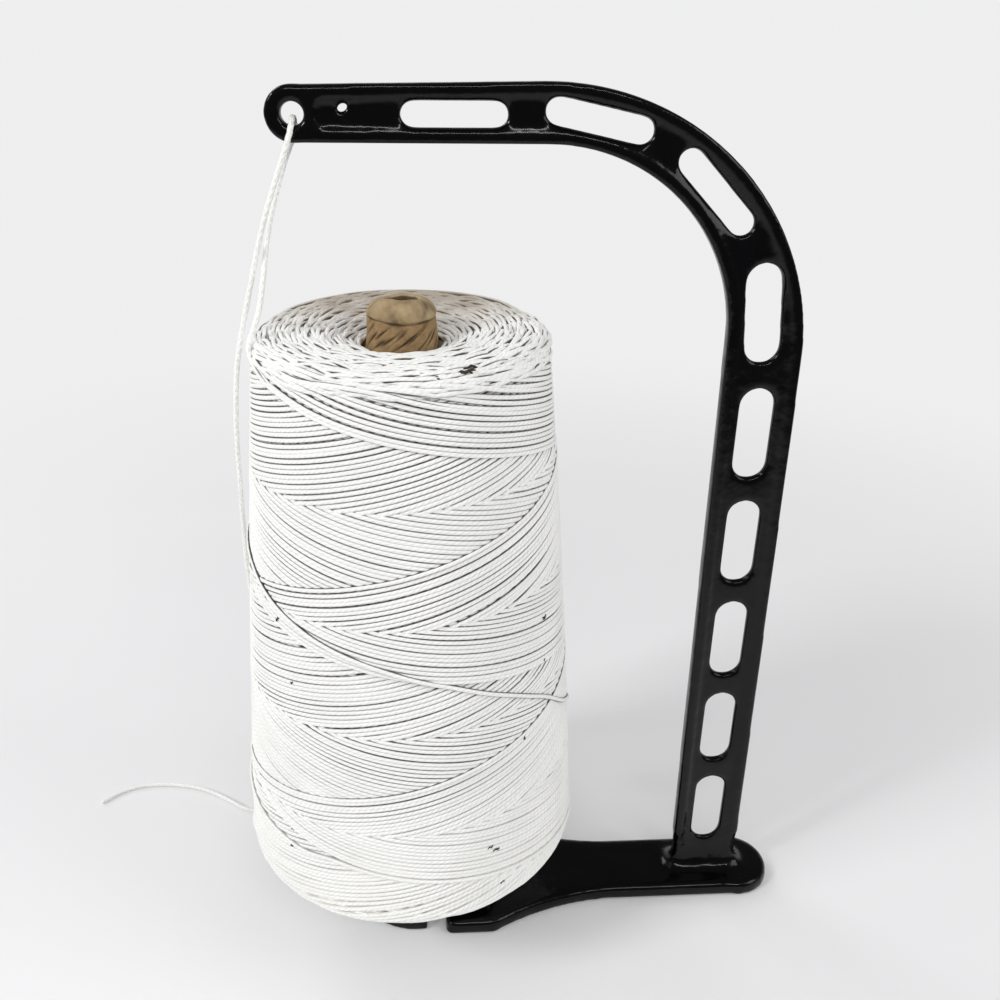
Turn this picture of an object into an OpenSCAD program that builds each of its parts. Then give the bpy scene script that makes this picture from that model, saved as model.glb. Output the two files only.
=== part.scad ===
// Counter-top string holder: a cast-iron stand with a pierced overhead arm,
// a turning seat on a riveted spindle, and a cross-wound cone of cotton twine
// whose free end runs up through the eye and back down to the counter.
// Millimetres. The origin is on the counter, on the spindle's axis. +X points to the post, +Z up.

/* [Base] */
// Thickness of the base plate
base_t = 6; // [4:0.5:9]
// Radius of the round hub plate under the cone
hub_r = 26.5; // [24:0.5:32]
// Half width of the strip between the hub and the foot
strip_half_w = 14.4; // [11:0.2:16]
// Radius of the rounded foot end behind the post
foot_r = 14.8; // [12:0.2:18]
// Distance from the spindle to the centre of the foot end
foot_x = 134.6; // [130:0.2:145]
// Half width across the flare's shoulders
shoulder_half_w = 29; // [26:0.5:34]
// Radius of the concave flare from the strip to the shoulders
flare_r = 108; // [90:1:130]
// Distance from the spindle to where the flare leaves the strip
flare_x = 85; // [80:1:92]
// Width of the open screw notches beside the hub
notch_w = 6.9; // [5:0.1:8]
// Distance from the spindle to the notches' centre line
notch_x = 7.15; // [6:0.05:9]
// Distance from the middle plane to the notches' round inner end
notch_in = 20; // [18:0.5:23]
// Radius of the raised boss that carries the spindle
boss_r = 16; // [14:0.5:16]
// Height of the boss's top face above the counter
boss_top = 10; // [8:0.5:14]
// Radius of the cast fillets round the post's root
root_fillet = 7; // [3:0.5:8]
// Chamfer round the eye on both faces
eye_chamfer = 0.8; // [0.4:0.1:1.2]

/* [Arm] */
// Distance from the spindle to the post's centre at the foot
post_x = 121.2; // [118:0.2:126]
// Width of the post at the foot
post_w_foot = 27.2; // [22:0.2:30]
// Width of the post where the bend begins
post_w_top = 25.8; // [21:0.2:28]
// How far the post leans in towards the cone at the bend
post_lean = 2.7; // [0:0.1:5]
// Height of the arm's top edge at the bend
arm_top = 316; // [300:1:340]
// Depth of the arm, top to bottom edge, where the bend ends
arm_h = 17.3; // [14:0.1:22]
// Outer radius of the bend
bend_outer_r = 86; // [74:1:96]
// Radius of the rounded tip round the eye
tip_r = 8.1; // [7:0.1:9]
// Reach of the eye past the spindle's axis
eye_reach = 29.1; // [20:0.1:40]
// Drop of the eye's centre below the arm's top edge at the bend
eye_drop = 9.2; // [8:0.1:11]
// Radius of the eye
eye_r = 3.4; // [3:0.1:4.5]
// Width of the raised rim along the arm's edges
rim_w = 3.6; // [2.5:0.1:4]
// Thickness of the arm over its rims
rim_t = 6; // [5:0.2:7]
// Thickness of the web between the rims
web_t = 3.6; // [2.5:0.1:4.5]
// Number of slots up the post
post_slots = 6; // [4:1:6]
// Height of the lowest slot's centre
slot_z = 36.8; // [34:0.2:42]
// Height of the highest post slot's centre above the start of the bend
slot_top = 16.8; // [10:0.2:20]
// Length of a post slot
slot_l = 33; // [26:0.5:34]
// Width of a post slot
slot_w = 11.6; // [8:0.1:13]
// Length of a slot in the overhead arm
arm_slot_l = 31.4; // [26:0.2:33]
// Width of a slot in the overhead arm
arm_slot_w = 7.2; // [5:0.1:8]
// Width of a slot in the bend
bend_slot_w = 7.8; // [5:0.1:9]
// Thickness of the casting flash that fills the slot beside the eye
flash_t = 3; // [1.5:0.1:3.4]

/* [Spindle and seat] */
// Radius of the spindle
spindle_r = 5; // [4:0.1:6]
// Radius of the spindle's riveted tail
tail_r = 4; // [3:0.1:4.5]
// Radius of the tail where it is spread flush with the underside
rivet_r = 6.5; // [5:0.1:8]
// Height of the riveted spread
rivet_h = 3; // [2:0.1:4]
// Radius of the spindle's domed head
head_r = 9; // [7:0.1:12]
// Height of the domed head
head_h = 5; // [3:0.1:7]
// Radial running clearance of the seat on the spindle
run_gap = 0.05; // [0.02:0.01:0.1]
// Clearance between parts that slip past each other
slip_gap = 0.3; // [0.2:0.05:0.5]
// Thickness of the thrust washer
washer_t = 1.2; // [0.8:0.1:2]
// Radius of the thrust washer
washer_r = 14.5; // [11:0.5:15]
// Radius of the seat's foot
seat_foot_r = 15; // [12:0.5:18]
// Radius of the seat's neck
seat_neck_r = 11; // [9:0.5:13]
// Radius of the seat's flange
flange_r = 31; // [28:0.5:36]
// Thickness of the seat's flange at its rim
flange_t = 4; // [3:0.5:6]
// Height of the flange's top face above the counter
flange_z = 40; // [36:0.5:46]
// Height of the tapered plug above the flange
plug_h = 32; // [24:0.5:40]

/* [Cone of twine] */
// Half angle of the paper cone, in degrees
cone_angle = 4.2; // [3:0.1:5]
// Outer radius of the paper cone at its nose
nose_r = 11.2; // [10:0.1:13]
// Wall of the paper cone
paper_t = 2; // [1.5:0.1:3]
// Height of the paper cone's nose above the counter
nose_z = 252.5; // [248:0.5:256]
// Radius of the hole in the nose
nose_hole_r = 5; // [3:0.1:7]
// Height of the winding's lower face above the counter
pack_z0 = 42; // [41:0.5:48]
// Height of the winding's upper rim above the counter
pack_z1 = 244; // [238:0.5:246]
// Outer radius of the winding at its lower end
pack_r0 = 64.6; // [58:0.2:66]
// Outer radius of the winding at its upper end
pack_r1 = 48.2; // [44:0.2:52]
// Swell of the winding's flank at mid height
pack_bulge = 0.9; // [0:0.1:3]
// Radius of the winding's rounded lower edge
pack_edge0 = 7; // [4:0.5:9]
// Radius of the winding's rounded upper edge
pack_edge1 = 7; // [4:0.5:9]
// Depth of the dish in the upper face at the nose
pack_dish = 4; // [2:0.5:6]
// Diameter of the twine
twine_d = 1.8; // [1.4:0.1:2.2]
// Turns of twine on the way up, and again on the way down
turns_each_way = 12; // [8:1:12]

/* [Hidden] */
$fn = 96;

iron = [0.05, 0.05, 0.055];
steel = [0.55, 0.55, 0.56];
paper = [0.62, 0.48, 0.33];
twine = [0.93, 0.91, 0.86];

notch_r = notch_w / 2;
eye_z = arm_top - eye_drop;
shoulder_x = notch_x + notch_r;
shoulder_edge = 3;
// How far a curve that meets a face runs into it
blend = 0.2;
post_top_x = post_x - post_lean;
bend_x = post_top_x + post_w_top / 2 - bend_outer_r;
bend_outer_z = arm_top - bend_outer_r;
bend_inner_r = bend_outer_r - post_w_top;
bend_inner_z = arm_top - arm_h - bend_inner_r;
bend_inner_right = post_top_x - post_w_top / 2;
slot_pitch = (bend_outer_z + slot_top - slot_z) / (post_slots - 1);
bend_mid_z = (bend_outer_z + bend_inner_z) / 2;
bend_mid_r = (bend_outer_r + bend_inner_r) / 2;
bend_slot_r = bend_mid_r - 0.5;
bend_slot_angles = [44, 77.9];
arm_slot_x = 17.7;
flash_x = -14.6;
flash_l = 17;
flash_hole = [3.6, 2];
flash_hole_rise = 1.8;
washer_z = boss_top;
seat_z = washer_z + washer_t + 0.1;
plug_top = flange_z + plug_h;
head_z = plug_top + slip_gap;
cone_slope = tan(cone_angle);
nose_curl = 5;

function paper_r(z) = nose_r + (nose_z - nose_curl - z) * cone_slope;
function bore_r(z) = paper_r(z) - paper_t;
function unit(v) = v / norm(v);
function lerp(a, b, t) = a + (b - a) * t;

// Flank radius of the whole winding, a straight taper with a slight swell
function pack_share(z) = (z - pack_z0) / (pack_z1 - pack_z0);
function pack_r(z) = lerp(pack_r0, pack_r1, pack_share(z))
    + 4 * pack_bulge * pack_share(z) * (1 - pack_share(z));

// Two laid layers of turns cover the core: what a chord of the tube dips, and the gap between the layers
rings_per_turn = 24;
chord_dip = pack_r0 * (1 - cos(180 / rings_per_turn));
layer_gap = 0.5;
lay_gap = 0.2;
layer_step = twine_d + chord_dip + layer_gap;
wind_depth = 2 * twine_d + 2 * chord_dip + layer_gap + lay_gap;
function core_r(z) = pack_r(z) - wind_depth;

// A tube with 6 or 8 sides through a list of centres, each with its own cross direction
module tube(centres, crosses, radius, sides) {
    n = len(centres);
    along = [for (i = [0 : n - 1]) unit(centres[min(i + 1, n - 1)] - centres[max(i - 1, 0)])];
    points = [for (i = [0 : n - 1]) for (k = [0 : sides - 1])
        let (u = unit(crosses[i] - (crosses[i] * along[i]) * along[i]), v = cross(along[i], u))
        centres[i] + radius * (cos(360 * k / sides) * u + sin(360 * k / sides) * v)];
    wall = [for (i = [0 : n - 2]) for (k = [0 : sides - 1])
        let (a = i * sides + k, b = i * sides + (k + 1) % sides)
        each [[a, a + sides, b + sides], [a, b + sides, b]]];
    start = [for (k = [1 : sides - 2]) [0, k, k + 1]];
    last = (n - 1) * sides;
    end = [for (k = [1 : sides - 2]) [last, last + k + 1, last + k]];
    polyhedron(points = points, faces = concat(wall, start, end));
}

// Base plate, drawn from above
module base_outline() {
    circle(r = hub_r);
    translate([0, -strip_half_w]) square([foot_x, 2 * strip_half_w]);
    translate([foot_x, 0]) circle(r = foot_r);
    difference() {
        union() {
            translate([shoulder_x + shoulder_edge, -shoulder_half_w])
                square([flare_x - shoulder_x - shoulder_edge, 2 * shoulder_half_w]);
            translate([shoulder_x, shoulder_edge - shoulder_half_w])
                square([2 * shoulder_edge, 2 * (shoulder_half_w - shoulder_edge)]);
            for (side = [-1, 1])
                translate([shoulder_x + shoulder_edge, side * (shoulder_half_w - shoulder_edge)])
                    circle(r = shoulder_edge);
        }
        for (side = [-1, 1])
            translate([flare_x, side * (strip_half_w + flare_r - blend)]) circle(r = flare_r);
    }
}

module notch_outline() {
    for (side = [-1, 1]) {
        translate([notch_x, side * notch_in]) circle(r = notch_r);
        translate([notch_x - notch_r, side > 0 ? notch_in : -notch_in - shoulder_half_w])
            square([notch_w, shoulder_half_w]);
    }
}

// The arm seen from the front, its edges taken in by inset
module arm_outline(inset) {
    polygon([
        [post_x - post_w_foot / 2 + inset, base_t / 2],
        [post_x + post_w_foot / 2 - inset, base_t / 2],
        [bend_x + bend_outer_r - inset, bend_outer_z],
        [bend_inner_right + inset + 6, bend_inner_z],
        [bend_inner_right + inset, bend_inner_z]
    ]);
    difference() {
        intersection() {
            translate([bend_x, bend_outer_z]) circle(r = bend_outer_r - inset);
            translate([bend_x, bend_outer_z]) square(bend_outer_r);
        }
        translate([bend_x, bend_inner_z]) circle(r = bend_inner_r + inset);
        translate([bend_x, bend_outer_z])
            square([bend_inner_r + inset + 3, bend_inner_z - bend_outer_z]);
    }
    polygon([
        [bend_x, arm_top - arm_h + inset],
        [bend_x, arm_top - inset],
        [-eye_reach, eye_z + tip_r - inset - blend],
        [-eye_reach, eye_z - tip_r + inset + blend]
    ]);
    translate([-eye_reach, eye_z]) circle(r = tip_r - inset);
}

// A slot with round ends, lying along X
module slot_outline(length, width) {
    square([length - width, width], center = true);
    for (side = [-1, 1]) translate([side * (length - width) / 2, 0]) circle(d = width);
}

module slots_outline() {
    for (i = [0 : post_slots - 1])
        let (z = slot_z + i * slot_pitch, past = max(0, z - bend_outer_z))
        translate([post_x - post_lean * z / bend_outer_z - past / 12, z])
            rotate(90 + past / 3.2) slot_outline(slot_l, slot_w);
    for (a = bend_slot_angles)
        translate([bend_x, bend_mid_z] + bend_slot_r * [cos(a), sin(a)])
            rotate(a + 90) slot_outline(slot_l, bend_slot_w);
    translate([arm_slot_x, eye_z]) slot_outline(arm_slot_l, arm_slot_w);
}

// Stands a front view up and gives it a thickness about the middle plane
module upright(thickness) {
    rotate([90, 0, 0]) linear_extrude(height = thickness, center = true) children();
}

module fillet_outline() {
    difference() {
        translate([-1, -1]) square(root_fillet + 1 - blend);
        translate([root_fillet - blend, root_fillet - blend]) circle(r = root_fillet);
    }
}

// Concave cast fillets between the post's root and the plate
module root_fillets() {
    for (side = [-1, 1]) {
        translate([post_x + side * post_w_foot / 2, 0, base_t])
            upright(rim_t) mirror([side < 0 ? 1 : 0, 0]) fillet_outline();
        translate([post_x, side * rim_t / 2, base_t])
            rotate([90, 0, 90]) linear_extrude(height = post_w_foot, center = true)
                mirror([side < 0 ? 1 : 0, 0]) fillet_outline();
        for (end = [-1, 1])
            translate([post_x + end * post_w_foot / 2, side * rim_t / 2, base_t])
                rotate_extrude() intersection() {
                    fillet_outline();
                    translate([0, -1]) square(2 * root_fillet);
                }
    }
}

module stand_casting() {
    recess = (rim_t - web_t) / 2;
    color(iron) difference() {
        union() {
            linear_extrude(height = base_t) base_outline();
            cylinder(r = boss_r, h = boss_top);
            upright(rim_t) arm_outline(0);
            root_fillets();
        }
        translate([0, 0, -1]) linear_extrude(height = boss_top + 2) notch_outline();
        translate([0, 0, -1]) cylinder(r = tail_r + run_gap, h = boss_top + 2);
        rotate_extrude() polygon([
            [0, -1],
            [rivet_r + run_gap, -1],
            [rivet_r + run_gap, 0],
            [tail_r + run_gap, rivet_h],
            [0, rivet_h]
        ]);
        for (side = [-1, 1]) translate([0, side * (web_t / 2 + recess), 0])
            upright(2 * recess) difference() {
                arm_outline(rim_w);
                translate([-eye_reach, eye_z]) circle(r = tip_r);
                translate([0, -1]) square([post_x + post_w_foot, base_t + root_fillet + 1]);
            }
        upright(2 * rim_t) slots_outline();
        upright(2 * rim_t) translate([-eye_reach, eye_z]) circle(r = eye_r);
        for (side = [-1, 1]) translate([-eye_reach, 0, eye_z]) rotate([90 * side, 0, 0])
            translate([0, 0, rim_t / 2 - eye_chamfer])
                cylinder(r1 = eye_r, r2 = eye_r + 2 * eye_chamfer, h = 2 * eye_chamfer);
        for (side = [-1, 1]) translate([0, side * (flash_t / 2 + rim_t / 2), 0])
            upright(rim_t) translate([flash_x, eye_z]) slot_outline(flash_l, arm_slot_w);
        upright(2 * rim_t) translate([flash_x, eye_z + flash_hole_rise])
            rotate(25) slot_outline(flash_hole[0], flash_hole[1]);
    }
}

module spindle() {
    color(steel) rotate_extrude() polygon(concat(
        [[0, 0], [rivet_r, 0], [tail_r, rivet_h], [tail_r, boss_top], [spindle_r, boss_top],
         [spindle_r, head_z], [head_r, head_z]],
        [for (a = [0 : 15 : 90]) [head_r * cos(a), head_z + head_h * (0.3 + 0.7 * sin(a))]]
    ));
}

module thrust_washer() {
    color(steel) translate([0, 0, washer_z]) difference() {
        cylinder(r = washer_r, h = washer_t);
        translate([0, 0, -1]) cylinder(r = spindle_r + slip_gap, h = washer_t + 2);
    }
}

// Turned seat: a foot, a waisted neck, a flange for the cone's lower end and a tapered plug inside it
module cone_seat() {
    neck_top = flange_z - flange_t;
    waist = (neck_top - seat_z) / 2;
    color(iron) difference() {
        rotate_extrude() polygon(concat(
            [[0, seat_z], [seat_foot_r, seat_z], [seat_foot_r, seat_z + 2]],
            [for (a = [0 : 15 : 90])
                [lerp(seat_foot_r, seat_neck_r, sin(a)), seat_z + 2 + (waist - 2) * (1 - cos(a))]],
            [for (a = [15 : 15 : 90])
                [lerp(seat_neck_r, flange_r, 1 - cos(a)), seat_z + waist + waist * sin(a)]],
            [[flange_r, flange_z], [bore_r(flange_z) - slip_gap, flange_z],
             [bore_r(plug_top - 2) - slip_gap, plug_top - 2],
             [bore_r(plug_top) - slip_gap - 1.5, plug_top], [0, plug_top]]
        ));
        cylinder(r = spindle_r + run_gap, h = 2 * plug_top);
    }
}

module paper_cone() {
    curl_z = nose_z - nose_curl;
    color(paper) rotate_extrude() polygon(concat(
        [[bore_r(flange_z), flange_z], [paper_r(flange_z), flange_z], [paper_r(curl_z), curl_z]],
        [for (a = [15 : 15 : 90])
            [lerp(nose_hole_r + 1, nose_r, cos(a)), curl_z + nose_curl * sin(a)]],
        [[nose_hole_r, nose_z - 1], [nose_hole_r, nose_z - paper_t], [nose_r - paper_t, curl_z - paper_t]]
    ));
}

// The body of the winding under its outer turns
module twine_core() {
    bore0 = paper_r(pack_z0) + slip_gap;
    bore1 = paper_r(pack_z1 - pack_dish) + slip_gap;
    low = core_r(pack_z0 + pack_edge0);
    high = core_r(pack_z1 - pack_edge1);
    color(twine) rotate_extrude() polygon(concat(
        [[bore0, pack_z0]],
        [for (a = [0 : 15 : 90])
            [low - pack_edge0 * (1 - sin(a)), pack_z0 + pack_edge0 * (1 - cos(a))]],
        [for (i = [1 : 5]) let (z = lerp(pack_z0 + pack_edge0, pack_z1 - pack_edge1, i / 6)) [core_r(z), z]],
        [for (a = [0 : 15 : 90])
            [high - pack_edge1 * (1 - cos(a)), pack_z1 - pack_edge1 * (1 - sin(a))]],
        [[bore1, pack_z1 - pack_dish]]
    ));
}

// Outer turns: one strand laid up the flank and back down over itself, crossing as it goes
wind_margin = 9;
wind_z0 = pack_z0 + wind_margin;
wind_z1 = pack_z1 - wind_margin;
wind_rings = 2 * turns_each_way * rings_per_turn;
half_rings = wind_rings / 2;
climb_rings = rings_per_turn / 2;
start_angle = 200;
function wind_share(j) = 1 - abs(j / half_rings - 1);
function wind_climb(j) = min(1, max(0, (j - half_rings) / climb_rings + 0.5));
function wind_point(j) =
    let (z = lerp(wind_z1, wind_z0, wind_share(j)), a = start_angle + 360 * j / rings_per_turn)
    let (r = core_r(z) + lay_gap + chord_dip + twine_d / 2 + layer_step * wind_climb(j))
    [r * cos(a), r * sin(a), z];

wind_points = [for (j = [0 : wind_rings]) wind_point(j)];

// Least gap of the strand to itself, measured on points twice as close as its rings
module report_wind_gap() {
    fine = [for (j = [0 : wind_rings - 1]) each [wind_points[j], (wind_points[j] + wind_points[j + 1]) / 2]];
    turn = 2 * rings_per_turn;
    near = [for (i = [0 : len(fine) - 1])
        for (k = [i + turn / 2 : 1 : len(fine) - 1])
            if (abs(fine[i].z - fine[k].z) < 4) norm(fine[i] - fine[k])];
    echo(least_gap_of_outer_turns_mm = min(near) - twine_d);
}

module outer_turns() {
    first = wind_points[0] - twine_d * unit(wind_points[1] - wind_points[0]);
    last = wind_points[wind_rings] + twine_d * unit(wind_points[wind_rings] - wind_points[wind_rings - 1]);
    centres = concat([first], wind_points, [last]);
    color(twine) tube(centres, [for (p = centres) [p.x, p.y, 0]], twine_d / 2, 6);
    report_wind_gap();
}

// Free string, from the winding's shoulder up through the eye, down past the cone and along the counter
eye_bend_r = 6.2;
string_route = [
    [-46.4, -14, 239.8], [-45, -12.2, 244], [-43, -9.6, 250], [-41, -6, 260.5], [-39, -1.6, 272.5],
    [-36.2, 2.2, 283.5], [-33, 4.9, 293], [-30.4, 6, 299], [-29.4, 5.4, 302.6], [-29.1, 3.1, 304.9], [-29.1, 0, 305.7], [-29.1, -3.1, 304.9], [-29.4, -5.4, 302.6],
    [-31.2, -6.2, 297.5], [-39.6, -5.6, 276], [-47.4, -4, 250], [-50.8, -3, 238], [-53.2, -2, 226],
    [-55.4, 0, 208], [-57.2, 4, 184], [-58.6, 8, 166], [-60, 13, 146], [-60.6, 20, 120],
    [-60.8, 27, 95], [-61.4, 33, 70], [-62.6, 37, 45], [-64.6, 39.6, 22], [-69, 41.6, 6],
    [-75, 43, 0.9], [-82, 45.4, 0.9], [-90, 51, 0.9], [-98, 56, 0.9], [-106, 59.6, 0.9],
    [-115, 61.8, 0.9], [-123, 62.6, 0.9], [-131, 62.2, 0.9], [-138, 60, 0.9], [-143, 56.8, 0.9],
    [-148, 52, 0.9]
];
string_steps = 2;

// A smooth curve through four points in turn, at share t between the middle two
function smooth(a, b, c, d, t) =
    0.5 * (2 * b + (c - a) * t + (2 * a - 5 * b + 4 * c - d) * t * t + (3 * b - a - 3 * c + d) * t * t * t);

module free_string() {
    n = len(string_route);
    centres = concat(
        [for (i = [0 : n - 2]) for (k = [0 : string_steps - 1])
            smooth(string_route[max(i - 1, 0)], string_route[i], string_route[i + 1],
                   string_route[min(i + 2, n - 1)], k / string_steps)],
        [string_route[n - 1]]
    );
    m = len(centres);
    along = [for (i = [0 : m - 1]) unit(centres[min(i + 1, m - 1)] - centres[max(i - 1, 0)])];
    crosses = [for (i = 0, u = [0, 1, 0]; i < m;
        i = i + 1, u = i < m ? unit(u - (u * along[i]) * along[i]) : u) u];
    color(twine) tube(centres, crosses, twine_d / 2, 8);
}

stand_casting();
spindle();
thrust_washer();
cone_seat();
paper_cone();
twine_core();
outer_turns();
free_string();
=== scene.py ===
import math
import bmesh
import bpy
import numpy as np
from mathutils import Matrix, Vector


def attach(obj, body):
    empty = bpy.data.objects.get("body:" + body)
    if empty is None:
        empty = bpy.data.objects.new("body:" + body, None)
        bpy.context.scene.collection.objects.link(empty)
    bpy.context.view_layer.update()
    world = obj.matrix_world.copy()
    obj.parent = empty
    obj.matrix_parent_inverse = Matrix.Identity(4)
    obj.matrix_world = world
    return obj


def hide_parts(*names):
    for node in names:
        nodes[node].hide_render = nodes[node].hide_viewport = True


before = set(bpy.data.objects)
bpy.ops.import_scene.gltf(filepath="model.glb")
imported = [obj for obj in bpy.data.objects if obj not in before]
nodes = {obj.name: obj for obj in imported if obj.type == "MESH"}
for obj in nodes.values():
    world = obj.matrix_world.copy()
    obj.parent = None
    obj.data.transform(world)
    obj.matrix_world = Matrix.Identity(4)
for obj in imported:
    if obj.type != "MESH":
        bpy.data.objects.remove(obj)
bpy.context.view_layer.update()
scene = bpy.context.scene
mm = 0.001

# Camera at the photograph's place, in millimetres: 26.6 degrees down, 3.6 degrees to the right, rolled by 0.7
cameraSet = {"place": (12.8, -310.9, 336.9), "pitch": 26.6, "yaw": 3.6, "roll": 0.7, "lens": 36.0,
             "sensor": 36.0, "near": 10.0}


def buildCamera(spec):
    pitch, yaw, roll = (math.radians(spec[k]) for k in ("pitch", "yaw", "roll"))
    ahead = Vector((math.sin(yaw) * math.cos(pitch), math.cos(yaw) * math.cos(pitch), -math.sin(pitch)))
    right = ahead.cross(Vector((0, 0, 1))).normalized()
    up = right.cross(ahead)
    right, up = right * math.cos(roll) + up * math.sin(roll), up * math.cos(roll) - right * math.sin(roll)
    data = bpy.data.cameras.new("camera")
    data.lens = spec["lens"]
    data.sensor_width = spec["sensor"]
    data.clip_start = spec["near"] * mm
    camera = bpy.data.objects.new("camera", data)
    camera.matrix_world = Matrix((
        (right.x, up.x, -ahead.x, spec["place"][0] * mm),
        (right.y, up.y, -ahead.y, spec["place"][1] * mm),
        (right.z, up.z, -ahead.z, spec["place"][2] * mm),
        (0, 0, 0, 1)))
    scene.collection.objects.link(camera)
    scene.camera = camera


buildCamera(cameraSet)
print("stage: camera")


def linear(code):
    values = [int(code[i:i + 2], 16) / 255 for i in (1, 3, 5)]
    return tuple(v / 12.92 if v <= 0.04045 else ((v + 0.055) / 1.055) ** 2.4 for v in values) + (1.0,)


def addNode(tree, kind, inputs=None, stops=(), **settings):
    # stops are the places and hex colours of a colour ramp. A Mix of colours has its share at input 0, its
    # colours at inputs 6 and 7, and the result at output 2
    node = tree.nodes.new(kind)
    for key, value in settings.items():
        setattr(node, key, value)
    for key, value in (inputs or {}).items():
        if isinstance(value, bpy.types.NodeSocket):
            tree.links.new(value, node.inputs[key])
        else:
            node.inputs[key].default_value = value
    if stops:
        band = node.color_ramp.elements
        while len(band) < len(stops):
            band.new(0.5)
        for element, (place, code) in zip(band, stops):
            element.position = place
            element.color = linear(code)
    return node


def newMaterial(name):
    # A material with its shader, and the object's own coordinates in millimetres for its patterns
    material = bpy.data.materials.new(name)
    material.use_nodes = True
    tree = material.node_tree
    tree.nodes.clear()
    shader = addNode(tree, "ShaderNodeBsdfPrincipled")
    addNode(tree, "ShaderNodeOutputMaterial", {"Surface": shader.outputs["BSDF"]})
    coords = addNode(tree, "ShaderNodeTexCoord")
    spot = addNode(tree, "ShaderNodeVectorMath", {0: coords.outputs["Object"], 1: (1 / mm,) * 3},
                   operation="MULTIPLY")
    return material, tree, shader, spot.outputs[0]


# Patterns are a size in millimetres and a detail, bumps a strength and a height in millimetres. The sand's
# grit is finer than this grain, which is as coarse as it needs to be to show. The specular level is under the
# usual 0.5, to match the near-black faces in the photograph
enamelSet = {"lumps": (7.0, 2.0), "grain": (1.4, 3.0), "cloud": (16.0, 4.0),
             "colors": [(0.3, "#020203"), (0.7, "#060608")], "grainSpan": (0.3, 0.7), "rough": (0.1, 0.2),
             "specular": 0.26, "lumpBump": (0.34, 1.2), "grainBump": (0.05, 0.1)}


def blackEnamel(spec):
    # Black enamel flowed thick over sand-cast iron: deep and glossy, its reflections bent by the lumps below
    material, tree, shader, spot = newMaterial("blackEnamel")
    lumps, grain, cloud = (
        addNode(tree, "ShaderNodeTexNoise",
                {"Vector": spot, "Scale": 1 / size, "Detail": detail}).outputs["Fac"]
        for size, detail in (spec["lumps"], spec["grain"], spec["cloud"]))
    color = addNode(tree, "ShaderNodeValToRGB", {"Fac": cloud}, spec["colors"])
    tree.links.new(color.outputs["Color"], shader.inputs["Base Color"])
    gloss = addNode(tree, "ShaderNodeMapRange", {
        "Value": grain, "From Min": spec["grainSpan"][0], "From Max": spec["grainSpan"][1],
        "To Min": spec["rough"][0], "To Max": spec["rough"][1]})
    tree.links.new(gloss.outputs["Result"], shader.inputs["Roughness"])
    shader.inputs["Specular IOR Level"].default_value = spec["specular"]
    big = addNode(tree, "ShaderNodeBump", {"Height": lumps, "Strength": spec["lumpBump"][0],
                                           "Distance": spec["lumpBump"][1] * mm})
    small = addNode(tree, "ShaderNodeBump", {"Height": grain, "Strength": spec["grainBump"][0],
                                             "Distance": spec["grainBump"][1] * mm,
                                             "Normal": big.outputs["Normal"]})
    tree.links.new(small.outputs["Normal"], shader.inputs["Normal"])
    return material


steelSet = {"patches": (6.0, 3.0), "colors": [(0.3, "#6f6c68"), (0.7, "#8d8a86")], "rough": 0.4}


def turnedSteel(spec):
    # Mild steel, turned and lightly oiled: a dull grey metal, darker in patches where the oil has dried
    material, tree, shader, spot = newMaterial("turnedSteel")
    size, detail = spec["patches"]
    patches = addNode(tree, "ShaderNodeTexNoise", {"Vector": spot, "Scale": 1 / size, "Detail": detail})
    color = addNode(tree, "ShaderNodeValToRGB", {"Fac": patches.outputs["Fac"]}, spec["colors"])
    tree.links.new(color.outputs["Color"], shader.inputs["Base Color"])
    shader.inputs["Metallic"].default_value = 1.0
    shader.inputs["Roughness"].default_value = spec["rough"]
    return material


# Paper fibres are finer than this, and are drawn as coarse as they need to be to show
paperSet = {"blotch": (5.0, 5.0), "fibre": (0.7, 3.0), "uneven": 0.6, "fibreShare": 0.35,
            "blotchColors": [(0.25, "#6f5638"), (0.55, "#96784f"), (0.8, "#b39a72")],
            "fibreColors": [(0.3, "#745a3b"), (0.7, "#ad9369")], "capFrom": (246.8, 247.6), "capShare": 0.6,
            "capColors": [(0.3, "#8a7754"), (0.7, "#b7a684")], "creaseShadeSpan": (0.06, 0.4), "creaseShadeShare": 0.85,
            "creaseShadeColor": "#33230f", "rough": 0.8, "bump": (0.5, 0.3)}


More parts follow.
